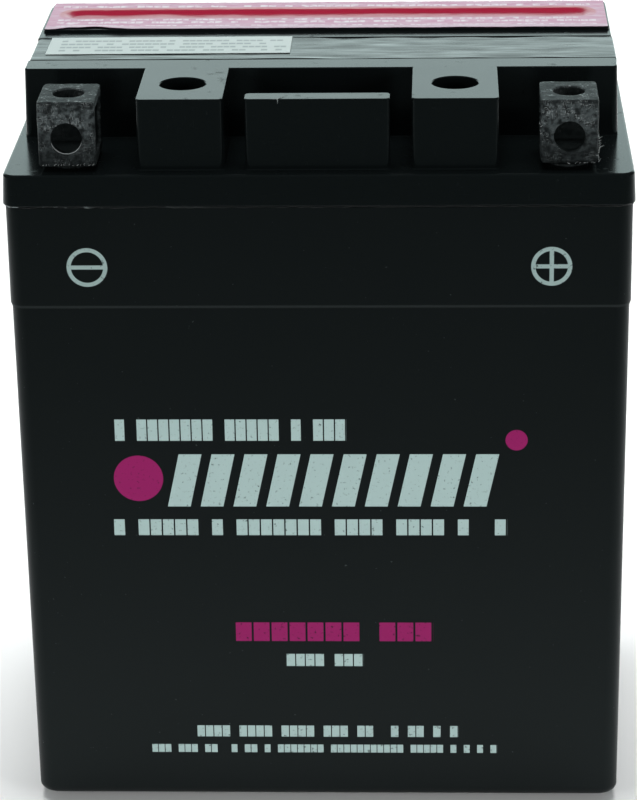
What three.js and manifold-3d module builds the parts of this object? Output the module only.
// A sealed six-cell motorcycle battery, built the way the real one is assembled.
// Millimetres, +Z up. X runs along the long side, -Y is the front with the terminals.
// The origin is the centre of the underside.
import * as THREE from "three";
import { mergeVertices } from "three/addons/utils/BufferGeometryUtils.js";
import Module from "manifold-3d";

const wasm = await Module();
wasm.setup();

// ---------------------------------------------------------------- driving dimensions

const GAP = 0.3; // clearance between neighbouring pieces
const CELLS = 6;

const COVER_HALF_WIDTH = 67;
const COVER_HALF_DEPTH = 44.5;
const TOTAL_HEIGHT = 166;
const FRONT = -COVER_HALF_DEPTH;

// container
const CASE_CORNER = 3.2;
const BODY_HALF_WIDTH = 66.2; // just below the step
const BAND_OUTSTAND = 0.3; // the band above the step is this much wider per side
const BODY_DRAFT = 0.5; // the body narrows by this much per side down to the base
const FOOT_INSET = 4;
const FOOT_HEIGHT = 1.2;
const BASE_ROUND = 2.2;
const STEP_Z = 119.8;
const CASE_TOP = 142.3;
const FLOOR_TOP = 3.2;
const PARTITION = 1.6;
const INNER_HALF_WIDTH = 63;
const INNER_HALF_DEPTH = 40.5;

const widthToDepth = COVER_HALF_WIDTH - COVER_HALF_DEPTH;
const CELL_WIDTH = (2 * INNER_HALF_WIDTH - (CELLS - 1) * PARTITION) / CELLS;
const CELL_PITCH = CELL_WIDTH + PARTITION;
const cellX = (cell) => (cell - (CELLS + 1) / 2) * CELL_PITCH;

// cover
const COVER_BOTTOM = CASE_TOP + GAP;
const LEDGE_Z = 149.4;
const LEDGE_SKIN = 2.6;
const EDGE_ROUND = 0.8;
const BLOCK_HALF_WIDTH = 63.9;
const BLOCK_FRONT = -16.5;
const BLOCK_BACK = 37;
const BLOCK_WALL = 2.6;
const BLOCK_CORNER = 1.5;
const STRIP_Z = 164.9; // top of the front strip, the bosses and the upright wall
const DECK_FRONT = 13.6;
const DECK_Z = 165.5; // slightly raised deck under the foil
const DECK_INSET = 0.1;

const BOSS_X = 29;
const BOSS_HALF_WIDTH = 9.15;
const BOSS_FRONT = -40.6;
const BOSS_HOLE_Y = -28.5;
const BOSS_HOLE_RADIUS = 4.95;
const BOSS_HOLE_DEPTH = 15;
const WALL_HALF_WIDTH = 15.3;
const WALL_BACK = -35.9;
const BOSS_CORNER = 1.1;

// vent chamber under its plate
const PLATE_THICKNESS = 2.1;
const PLATE_OVERHANG = 0.3;
const PLATE_FRONT = -9.4;
const PLATE_BACK = 8.6;
const SEAT_LIP = 0.9;
const CHAMBER_FLOOR = 155.6;
const CHAMBER_HALF_WIDTH = 61.5;
const CHAMBER_SKIN = 2.4;
const STUB_RADIUS = 2.5;
const STUB_BORE = 1.2;
const STUB_TOP = 160;
const VALVE_RADIUS = 4.6;
const VALVE_TOP_SKIN = 1.3;
const VALVE_CLEARANCE = 0.4;
const ARRESTOR_RADIUS = 2.4;
const ARRESTOR_THICKNESS = 1.4;
const ARRESTOR_Z = 159;
const EXHAUST_RADIUS = 1.5;
const arrestorX = CHAMBER_HALF_WIDTH - ARRESTOR_THICKNESS - 1;

// filler channel under the foil
const CHANNEL_Y = 26.3;
const CHANNEL_HALF_DEPTH = 4.05;
const CHANNEL_HALF_WIDTH = 60.2;
const CHANNEL_FLOOR = 163.2;
const FILLER_RADIUS = 3.4;
const FILLER_WALL = 1.4;
const FILLER_TUBE_BOTTOM = 151;
const FILLER_CEILING = 160.5;
const FILLER_SPACE_FRONT = 11.5;
const FOIL_THICKNESS = 0.2;
const FOIL_HALF_WIDTH = 63.4;
const FOIL_FRONT = 13.9;
const FOIL_BACK = 36.5;

// sticker on the vent plate
const STICKER_X = [-61.1, -7.2];
const STICKER_Y = [-5, 8.2];
const STICKER_THICKNESS = 0.25;

// terminals and the posts that carry them
const TERMINAL_X = 52.9;
const TERMINAL_Y = -34;
const TERMINAL_HALF_WIDTH = 6.1;
const TERMINAL_HALF_DEPTH = 7.35;
const TERMINAL_BOTTOM = 150.4;
const TERMINAL_TOP = 164.6;
const TERMINAL_WALL = 2.1;
const TERMINAL_CORNER = 1.2;
const TERMINAL_HOLE_RADIUS = 3.3; // clears an M6 bolt
const COLLAR_MARGIN = 0.4;
const POST_RADIUS = 4.5;
const SEAL_OUTER = 6.3;
const SEAL_HEIGHT = 2.4;
const BUSHING_RADIUS = 8;
const BUSHING_DROP = 3.6;

// plates
const PLATES_PER_CELL = 7; // four negative, three positive
const PLATE_SIZE = 1.5;
const PLATE_CLEARANCE = 0.5;
const PLATE_BOTTOM = 5;
const PLATE_TOP = 110;
const MAT = 0.76; // separator thickness
const MAT_BOTTOM = 3.6;
const MAT_TOP = 112;
const STRAP_Y = -33.9;
const STRAP_HALF_DEPTH = 4.5;
const STRAP_BOTTOM = 117;
const STRAP_TOP = 123;
const TAB_THICKNESS = 2.2;
const TAB_TOP = 138;
const TAB_CLEARANCE = 0.4;
const WELD_Z = 131;
const WELD_RADIUS = 4.2;

const platePitch =
  (CELL_WIDTH - 2 * PLATE_CLEARANCE - PLATE_SIZE) / (PLATES_PER_CELL - 1);
const plateX = (index) => (index - (PLATES_PER_CELL - 1) / 2) * platePitch;
const MAT_TURN_Y = INNER_HALF_DEPTH - GAP - MAT / 2 - platePitch / 2;

const QUARTER_STEPS = 4; // facets in a quarter circle of a rounded corner
const ROUND_STEPS = 24; // facets round a bore or a pin
const FINE_RADIUS = 3; // bars thinner than this take fewer facets
const FINE_STEPS = 16;

// ---------------------------------------------------------------- materials

const plastic = (colour, roughness) =>
  new THREE.MeshStandardMaterial({ color: colour, roughness, metalness: 0 });
const metal = (colour, roughness) =>
  new THREE.MeshStandardMaterial({ color: colour, roughness, metalness: 0.9 });

const MATERIALS = {
  case: plastic(0x141818, 0.3),
  foil: plastic(0xb03060, 0.35),
  sticker: plastic(0xc9d2cf, 0.7),
  castLead: metal(0x4a5254, 0.55),
  plateLead: metal(0x6a6f70, 0.6),
  positivePaste: plastic(0x4a2f26, 0.9),
  glassMat: plastic(0xe4e6e0, 0.95),
  rubber: plastic(0x1b1b1b, 0.85),
  ceramic: plastic(0xd8d4c8, 0.9),
};

// ---------------------------------------------------------------- shape helpers

// A closed solid from stacked rounded rectangles: each ring gives z, hx, hy and r,
// and may be centred on x and y.
function loft(rings) {
  const points = [];
  const corners = [[1, 1], [-1, 1], [-1, -1], [1, -1]];
  for (const { z, hx, hy, r, x = 0, y = 0 } of rings) {
    corners.forEach(([sx, sy], quarter) => {
      for (let step = 0; step <= QUARTER_STEPS; step++) {
        const angle = (quarter + step / QUARTER_STEPS) * Math.PI / 2;
        points.push(
          x + sx * (hx - r) + r * Math.cos(angle),
          y + sy * (hy - r) + r * Math.sin(angle),
          z,
        );
      }
    });
  }
  const around = corners.length * (QUARTER_STEPS + 1);
  const index = [];
  for (let ring = 0; ring < rings.length - 1; ring++) {
    for (let i = 0; i < around; i++) {
      const next = (i + 1) % around;
      const low = ring * around;
      const high = low + around;
      index.push(low + i, low + next, high + next, low + i, high + next, high + i);
    }
  }
  const bottom = points.length / 3;
  const first = rings[0];
  const last = rings[rings.length - 1];
  points.push(first.x ?? 0, first.y ?? 0, first.z, last.x ?? 0, last.y ?? 0, last.z);
  const topStart = (rings.length - 1) * around;
  for (let i = 0; i < around; i++) {
    const next = (i + 1) % around;
    index.push(bottom, next, i, bottom + 1, topStart + i, topStart + next);
  }
  const geometry = new THREE.BufferGeometry();
  geometry.setAttribute("position", new THREE.Float32BufferAttribute(points, 3));
  geometry.setIndex(index);
  return geometry;
}

// A rounded block standing on z0, with its top edge eased by `round`.
function easedBlock([x0, x1], [y0, y1], [z0, z1], corner, round) {
  const frame = {
    x: (x0 + x1) / 2,
    y: (y0 + y1) / 2,
    hx: (x1 - x0) / 2,
    hy: (y1 - y0) / 2,
    r: corner,
  };
  const rings = [{ ...frame, z: z0 }];
  for (let step = 0; step <= 2; step++) {
    const angle = step * Math.PI / 4;
    const inset = round * (1 - Math.cos(angle));
    rings.push({
      ...frame,
      hx: frame.hx - inset,
      hy: frame.hy - inset,
      r: Math.max(corner - inset, round / 4),
      z: z1 - round + round * Math.sin(angle),
    });
  }
  return loft(rings);
}

function box([x0, x1], [y0, y1], [z0, z1]) {
  const geometry = new THREE.BoxGeometry(x1 - x0, y1 - y0, z1 - z0);
  return geometry.translate((x0 + x1) / 2, (y0 + y1) / 2, (z0 + z1) / 2);
}

const span = (centre, half) => [centre - half, centre + half];

function roundBar(axis, radius, [from, to], [a, b]) {
  const steps = radius < FINE_RADIUS ? FINE_STEPS : ROUND_STEPS;
  const bar = new THREE.CylinderGeometry(radius, radius, to - from, steps);
  const middle = (from + to) / 2;
  if (axis === "x") return bar.rotateZ(-Math.PI / 2).translate(middle, a, b);
  if (axis === "y") return bar.translate(a, middle, b);
  return bar.rotateX(Math.PI / 2).translate(a, b, middle);
}

// Slot with round ends, running along X.
function slot(halfWidth, halfDepth, y, [z0, z1]) {
  const outline = new THREE.Shape();
  const centre = halfWidth - halfDepth;
  outline.absarc(centre, y, halfDepth, -Math.PI / 2, Math.PI / 2);
  outline.absarc(-centre, y, halfDepth, Math.PI / 2, 3 * Math.PI / 2);
  const geometry = new THREE.ExtrudeGeometry(outline, {
    depth: z1 - z0,
    bevelEnabled: false,
    curveSegments: ROUND_STEPS / 2,
  });
  return geometry.translate(0, 0, z0);
}

function solid(geometry) {
  const bare = geometry.clone();
  bare.deleteAttribute("normal");
  bare.deleteAttribute("uv");
  const merged = mergeVertices(bare, 1e-5);
  return new wasm.Manifold(
    new wasm.Mesh({
      numProp: 3,
      vertProperties: new Float32Array(merged.attributes.position.array),
      triVerts: new Uint32Array(merged.index.array),
    }),
  );
}

const joined = (geometries) =>
  geometries.map(solid).reduce((sum, piece) => sum.add(piece));
const cut = (body, geometries) =>
  geometries.map(solid).reduce((left, tool) => left.subtract(tool), body);

function toGeometry(manifold) {
  const { vertProperties, triVerts } = manifold.getMesh();
  const geometry = new THREE.BufferGeometry();
  geometry.setAttribute("position", new THREE.BufferAttribute(vertProperties, 3));
  geometry.setIndex(new THREE.BufferAttribute(triVerts, 1));
  geometry.computeVertexNormals();
  return geometry;
}

const battery = new THREE.Group();

function addPiece(name, geometry, material) {
  const mesh = new THREE.Mesh(geometry, material.clone());
  mesh.name = name;
  battery.add(mesh);
}

const cells = Array.from({ length: CELLS }, (_, i) => i + 1);

// ---------------------------------------------------------------- container

// The terminal strap is at the front in odd cells' negative groups and even cells'
// positive groups, so that neighbouring straps always meet at the same end.
const strapSide = (cell, positive) => ((cell % 2 === 1) === positive ? 1 : -1);
const partitionX = (after) => cellX(after) + CELL_PITCH / 2;
const strapY = (side) => -side * STRAP_Y;

function container() {
  const ring = (z, halfWidth, corner = CASE_CORNER) => ({
    z,
    hx: halfWidth,
    hy: halfWidth - widthToDepth,
    r: corner,
  });
  const baseHalf = BODY_HALF_WIDTH - BODY_DRAFT;
  const bandHalf = BODY_HALF_WIDTH + BAND_OUTSTAND;
  const footHalf = baseHalf - FOOT_INSET;
  const rounded = [0, 1, 2, 3].map((step) => {
    const angle = step * Math.PI / 6;
    return ring(
      FOOT_HEIGHT + BASE_ROUND * (1 - Math.sin(angle)),
      baseHalf - BASE_ROUND * (1 - Math.cos(angle)),
    );
  });
  const outside = loft([
    ring(0, footHalf),
    ring(FOOT_HEIGHT, footHalf),
    ...rounded.reverse(),
    ring(STEP_Z, BODY_HALF_WIDTH),
    ring(STEP_Z + BAND_OUTSTAND, bandHalf),
    ring(CASE_TOP, bandHalf),
  ]);
  const cavities = cells.map((cell) =>
    box(span(cellX(cell), CELL_WIDTH / 2), span(0, INNER_HALF_DEPTH), [
      FLOOR_TOP,
      CASE_TOP + 1,
    ]),
  );
  const weldHoles = cells.slice(1).map((cell) => {
    const y = strapY(strapSide(cell, false));
    return roundBar("x", WELD_RADIUS + GAP, span(partitionX(cell - 1), PARTITION), [y, WELD_Z]);
  });
  return toGeometry(cut(solid(outside), [...cavities, ...weldHoles]));
}

// ---------------------------------------------------------------- cover

function coverOutside() {
  const flange = easedBlock(
    span(0, COVER_HALF_WIDTH),
    span(0, COVER_HALF_DEPTH),
    [COVER_BOTTOM, LEDGE_Z],
    CASE_CORNER,
    EDGE_ROUND,
  );
  const inLedge = LEDGE_Z - 1;
  const block = easedBlock(
    span(0, BLOCK_HALF_WIDTH),
    [BLOCK_FRONT, BLOCK_BACK],
    [inLedge, STRIP_Z],
    BLOCK_CORNER,
    EDGE_ROUND / 2,
  );
  const deck = easedBlock(
    span(0, BLOCK_HALF_WIDTH - DECK_INSET),
    [DECK_FRONT, BLOCK_BACK - DECK_INSET],
    [inLedge, DECK_Z],
    BLOCK_CORNER,
    EDGE_ROUND / 2,
  );
  const wall = easedBlock(
    span(0, WALL_HALF_WIDTH),
    [BOSS_FRONT, WALL_BACK],
    [inLedge, STRIP_Z],
    BOSS_CORNER,
    EDGE_ROUND / 2,
  );
  const besides = [-1, 1].flatMap((side) => [
    easedBlock(
      span(side * BOSS_X, BOSS_HALF_WIDTH),
      [BOSS_FRONT, BLOCK_FRONT + BLOCK_WALL / 2],
      [inLedge, STRIP_Z],
      BOSS_CORNER,
      EDGE_ROUND / 2,
    ),
    loft([inLedge, TERMINAL_BOTTOM - GAP].map((z) => ({
      x: side * TERMINAL_X,
      y: TERMINAL_Y,
      hx: TERMINAL_HALF_WIDTH + COLLAR_MARGIN,
      hy: TERMINAL_HALF_DEPTH + COLLAR_MARGIN,
      r: TERMINAL_CORNER,
      z,
    }))),
  ]);
  return joined([flange, block, deck, wall, ...besides]);
}

// Open spaces over each cell: low under the ledge, higher under the block and
// highest under the filler channel.
function cellSpaces() {
  const inBlock = [BLOCK_FRONT + BLOCK_WALL, BLOCK_BACK - BLOCK_WALL];
  return cells.flatMap((cell) => {
    const across = span(cellX(cell), CELL_WIDTH / 2);
    const ledgeCeiling = LEDGE_Z - LEDGE_SKIN;
    const chamberCeiling = CHAMBER_FLOOR - CHAMBER_SKIN;
    return [
      box(across, span(0, INNER_HALF_DEPTH), [COVER_BOTTOM - 1, ledgeCeiling]),
      box(across, inBlock, [ledgeCeiling - 1, chamberCeiling]),
      box(across, [FILLER_SPACE_FRONT, inBlock[1]], [chamberCeiling - 1, FILLER_CEILING]),
    ];
  });
}

function cover() {
  const plateSeat = STRIP_Z - PLATE_THICKNESS - GAP;
  const above = TOTAL_HEIGHT + 1;
  const hollow = cut(coverOutside(), [
    ...cellSpaces(),
    box(span(0, COVER_HALF_WIDTH), [PLATE_FRONT - GAP, PLATE_BACK + GAP], [plateSeat, above]),
    box(
      span(0, CHAMBER_HALF_WIDTH),
      [PLATE_FRONT + SEAT_LIP, PLATE_BACK - SEAT_LIP],
      [CHAMBER_FLOOR, above],
    ),
    slot(CHANNEL_HALF_WIDTH, CHANNEL_HALF_DEPTH, CHANNEL_Y, [CHANNEL_FLOOR, above]),
  ]);
  const inside = joined([
    ...cells.flatMap((cell) => [
      roundBar("z", STUB_RADIUS, [CHAMBER_FLOOR - 1, STUB_TOP], [cellX(cell), 0]),
      roundBar("z", FILLER_RADIUS + FILLER_WALL, [FILLER_TUBE_BOTTOM, FILLER_CEILING + 1], [
        cellX(cell),
        CHANNEL_Y,
      ]),
    ]),
    ...[-1, 1].map((side) =>
      roundBar("z", BUSHING_RADIUS, span(LEDGE_Z - LEDGE_SKIN, BUSHING_DROP), [
        side * TERMINAL_X,
        TERMINAL_Y,
      ]),
    ),
    box([arrestorX - GAP, CHAMBER_HALF_WIDTH + 1], span(0, ARRESTOR_RADIUS + 2), [
      CHAMBER_FLOOR - 1,
      plateSeat - GAP,
    ]),
  ]);
  const bushingBottom = LEDGE_Z - LEDGE_SKIN - BUSHING_DROP;
  const bores = [
    ...cells.flatMap((cell) => [
      roundBar("z", STUB_BORE, [CHAMBER_FLOOR - CHAMBER_SKIN - 1, STUB_TOP + 1], [cellX(cell), 0]),
      roundBar("z", FILLER_RADIUS, [FILLER_TUBE_BOTTOM - 1, above], [cellX(cell), CHANNEL_Y]),
    ]),
    ...[-1, 1].flatMap((side) => {
      const postAt = [side * TERMINAL_X, TERMINAL_Y];
      return [
        roundBar("z", POST_RADIUS + GAP, [bushingBottom - 1, LEDGE_Z + 2], postAt),
        roundBar(
          "z",
          SEAL_OUTER + GAP,
          [bushingBottom - 1, bushingBottom + SEAL_HEIGHT + GAP],
          postAt,
        ),
        roundBar("z", BOSS_HOLE_RADIUS, [STRIP_Z - BOSS_HOLE_DEPTH, above], [
          side * BOSS_X,
          BOSS_HOLE_Y,
        ]),
      ];
    }),
    roundBar("x", ARRESTOR_RADIUS + GAP, [arrestorX - 1, arrestorX + ARRESTOR_THICKNESS + GAP], [
      0,
      ARRESTOR_Z,
    ]),
    roundBar("x", EXHAUST_RADIUS, [arrestorX, BLOCK_HALF_WIDTH + 1], [0, ARRESTOR_Z]),
  ];
  return toGeometry(cut(hollow.add(inside), bores));
}

// ---------------------------------------------------------------- vent parts

function safetyValve(cell) {
  const inner = STUB_RADIUS + VALVE_CLEARANCE;
  const bottom = CHAMBER_FLOOR + VALVE_CLEARANCE;
  const ceiling = STUB_TOP + GAP;
  const top = ceiling + VALVE_TOP_SKIN;
  const profile = [
    [0, ceiling],
    [inner, ceiling],
    [inner, bottom],
    [VALVE_RADIUS, bottom],
    [VALVE_RADIUS, top - EDGE_ROUND / 2],
    [VALVE_RADIUS - EDGE_ROUND / 2, top],
    [0, top],
  ].map(([radius, z]) => new THREE.Vector2(radius, z));
  const cap = new THREE.LatheGeometry(profile, ROUND_STEPS);
  return toGeometry(solid(cap.rotateX(Math.PI / 2).translate(cellX(cell), 0, 0)));
}

// ---------------------------------------------------------------- terminals

function terminal(side) {
  const across = span(side * TERMINAL_X, TERMINAL_HALF_WIDTH);
  const along = span(TERMINAL_Y, TERMINAL_HALF_DEPTH);
  const block = easedBlock(
    across,
    along,
    [TERMINAL_BOTTOM, TERMINAL_TOP],
    TERMINAL_CORNER,
    EDGE_ROUND,
  );
  const beyond = span(side * TERMINAL_X, TERMINAL_HALF_WIDTH + 1);
  const nutPocket = box(
    beyond,
    [along[0] + TERMINAL_WALL, along[1] - TERMINAL_WALL],
    [TERMINAL_BOTTOM + TERMINAL_WALL, TERMINAL_TOP - TERMINAL_WALL],
  );
  const middle = (TERMINAL_BOTTOM + TERMINAL_TOP) / 2;
  const x = side * TERMINAL_X;
  return toGeometry(
    cut(solid(block), [
      nutPocket,
      roundBar("y", TERMINAL_HOLE_RADIUS, [along[0] - 1, TERMINAL_Y], [x, middle - EDGE_ROUND]),
      roundBar("z", TERMINAL_HOLE_RADIUS, [middle, TERMINAL_TOP + 1], [x, TERMINAL_Y]),
    ]),
  );
}

function postSeal(side) {
  const bottom = LEDGE_Z - LEDGE_SKIN - BUSHING_DROP;
  const shape = new THREE.Shape();
  shape.absarc(0, 0, SEAL_OUTER, 0, 2 * Math.PI);
  const hole = new THREE.Path();
  hole.absarc(0, 0, POST_RADIUS + GAP, 0, 2 * Math.PI);
  shape.holes.push(hole);
  const ring = new THREE.ExtrudeGeometry(shape, {
    depth: SEAL_HEIGHT,
    bevelEnabled: false,
    curveSegments: ROUND_STEPS / 2,
  });
  return toGeometry(solid(ring.translate(side * TERMINAL_X, TERMINAL_Y, bottom)));
}

// ---------------------------------------------------------------- plates

// One group is its plates, their lugs, the strap over them and, towards the next
// cell, a tab that is welded through the partition.
function plateGroup(cell, positive) {
  const side = strapSide(cell, positive);
  const y = strapY(side);
  const x = cellX(cell);
  const half = PLATE_SIZE / 2;
  const parts = [];
  for (let index = positive ? 1 : 0; index < PLATES_PER_CELL; index += 2) {
    const at = span(x + plateX(index), half);
    parts.push(box(at, span(0, MAT_TURN_Y), [PLATE_BOTTOM, PLATE_TOP]));
    parts.push(box(at, span(y, STRAP_HALF_DEPTH), [PLATE_TOP - 1, STRAP_TOP]));
  }
  const strap = span(x, CELL_WIDTH / 2 - TAB_CLEARANCE);
  parts.push(box(strap, span(y, STRAP_HALF_DEPTH), [STRAP_BOTTOM, STRAP_TOP]));
  const isEnd = positive ? cell === CELLS : cell === 1;
  if (!isEnd) {
    const tab = positive
      ? [strap[1] - TAB_THICKNESS, strap[1]]
      : [strap[0], strap[0] + TAB_THICKNESS];
    parts.push(box(tab, span(y, STRAP_HALF_DEPTH), [STRAP_TOP - 1, TAB_TOP]));
  }
  return toGeometry(joined(parts));
}

// A glass mat folded back and forth round the plates' upright edges.
function separator(cell) {
  const centreLine = [];
  const gaps = PLATES_PER_CELL - 1;
  const turnSteps = 6;
  for (let gap = 0; gap < gaps; gap++) {
    const x = cellX(cell) + (plateX(gap) + plateX(gap + 1)) / 2;
    const towards = gap % 2 === 0 ? 1 : -1;
    centreLine.push({ x, y: -towards * MAT_TURN_Y, nx: towards, ny: 0 });
    centreLine.push({ x, y: towards * MAT_TURN_Y, nx: towards, ny: 0 });
    if (gap === gaps - 1) break;
    const radius = platePitch / 2;
    for (let step = 1; step < turnSteps; step++) {
      const angle = Math.PI * step / turnSteps;
      const nx = Math.cos(angle);
      const ny = Math.sin(angle) * towards;
      centreLine.push({
        x: x + radius * (1 - nx),
        y: towards * MAT_TURN_Y + radius * ny,
        nx: nx * towards,
        ny: -ny * towards,
      });
    }
  }
  const edge = (line, offset) =>
    line.map(({ x, y, nx, ny }) => new THREE.Vector2(x + nx * offset, y + ny * offset));
  const outline = [
    ...edge(centreLine, MAT / 2),
    ...edge([...centreLine].reverse(), -MAT / 2),
  ];
  const mat = new THREE.ExtrudeGeometry(new THREE.Shape(outline), {
    depth: MAT_TOP - MAT_BOTTOM,
    bevelEnabled: false,
  });
  return toGeometry(solid(mat.translate(0, 0, MAT_BOTTOM)));
}

function intercellWeld(after) {
  const y = strapY(strapSide(after, true));
  const half = PARTITION / 2 + TAB_CLEARANCE - GAP;
  return roundBar("x", WELD_RADIUS, span(partitionX(after), half), [y, WELD_Z]);
}

// ---------------------------------------------------------------- assembly

addPiece("container", container(), MATERIALS.case);
addPiece("cover", cover(), MATERIALS.case);

addPiece(
  "vent_cover",
  easedBlock(
    span(0, BLOCK_HALF_WIDTH + PLATE_OVERHANG),
    [PLATE_FRONT, PLATE_BACK],
    [STRIP_Z - PLATE_THICKNESS, STRIP_Z],
    EDGE_ROUND,
    EDGE_ROUND / 2,
  ),
  MATERIALS.case,
);
addPiece(
  "filler_seal_strip",
  box(span(0, FOIL_HALF_WIDTH), [FOIL_FRONT, FOIL_BACK], [
    TOTAL_HEIGHT - FOIL_THICKNESS,
    TOTAL_HEIGHT,
  ]),
  MATERIALS.foil,
);
addPiece(
  "charge_label",
  box(STICKER_X, STICKER_Y, [STRIP_Z + GAP, STRIP_Z + GAP + STICKER_THICKNESS]),
  MATERIALS.sticker,
);
addPiece(
  "flame_arrestor",
  roundBar("x", ARRESTOR_RADIUS, [arrestorX, arrestorX + ARRESTOR_THICKNESS], [0, ARRESTOR_Z]),
  MATERIALS.ceramic,
);

for (const [pole, side] of [["negative", -1], ["positive", 1]]) {
  addPiece(`${pole}_terminal`, terminal(side), MATERIALS.castLead);
  addPiece(
    `${pole}_post`,
    roundBar("z", POST_RADIUS, [STRAP_TOP + GAP, TERMINAL_BOTTOM - GAP], [
      side * TERMINAL_X,
      TERMINAL_Y,
    ]),
    MATERIALS.castLead,
  );
  addPiece(`${pole}_post_seal`, postSeal(side), MATERIALS.rubber);
}

for (const cell of cells) {
  addPiece(`safety_valve_${cell}`, safetyValve(cell), MATERIALS.rubber);
  addPiece(`cell_${cell}_positive_plates`, plateGroup(cell, true), MATERIALS.positivePaste);
  addPiece(`cell_${cell}_negative_plates`, plateGroup(cell, false), MATERIALS.plateLead);
  addPiece(`cell_${cell}_separator`, separator(cell), MATERIALS.glassMat);
  if (cell < CELLS) {
    addPiece(`intercell_weld_${cell}`, intercellWeld(cell), MATERIALS.castLead);
  }
}

export default battery;
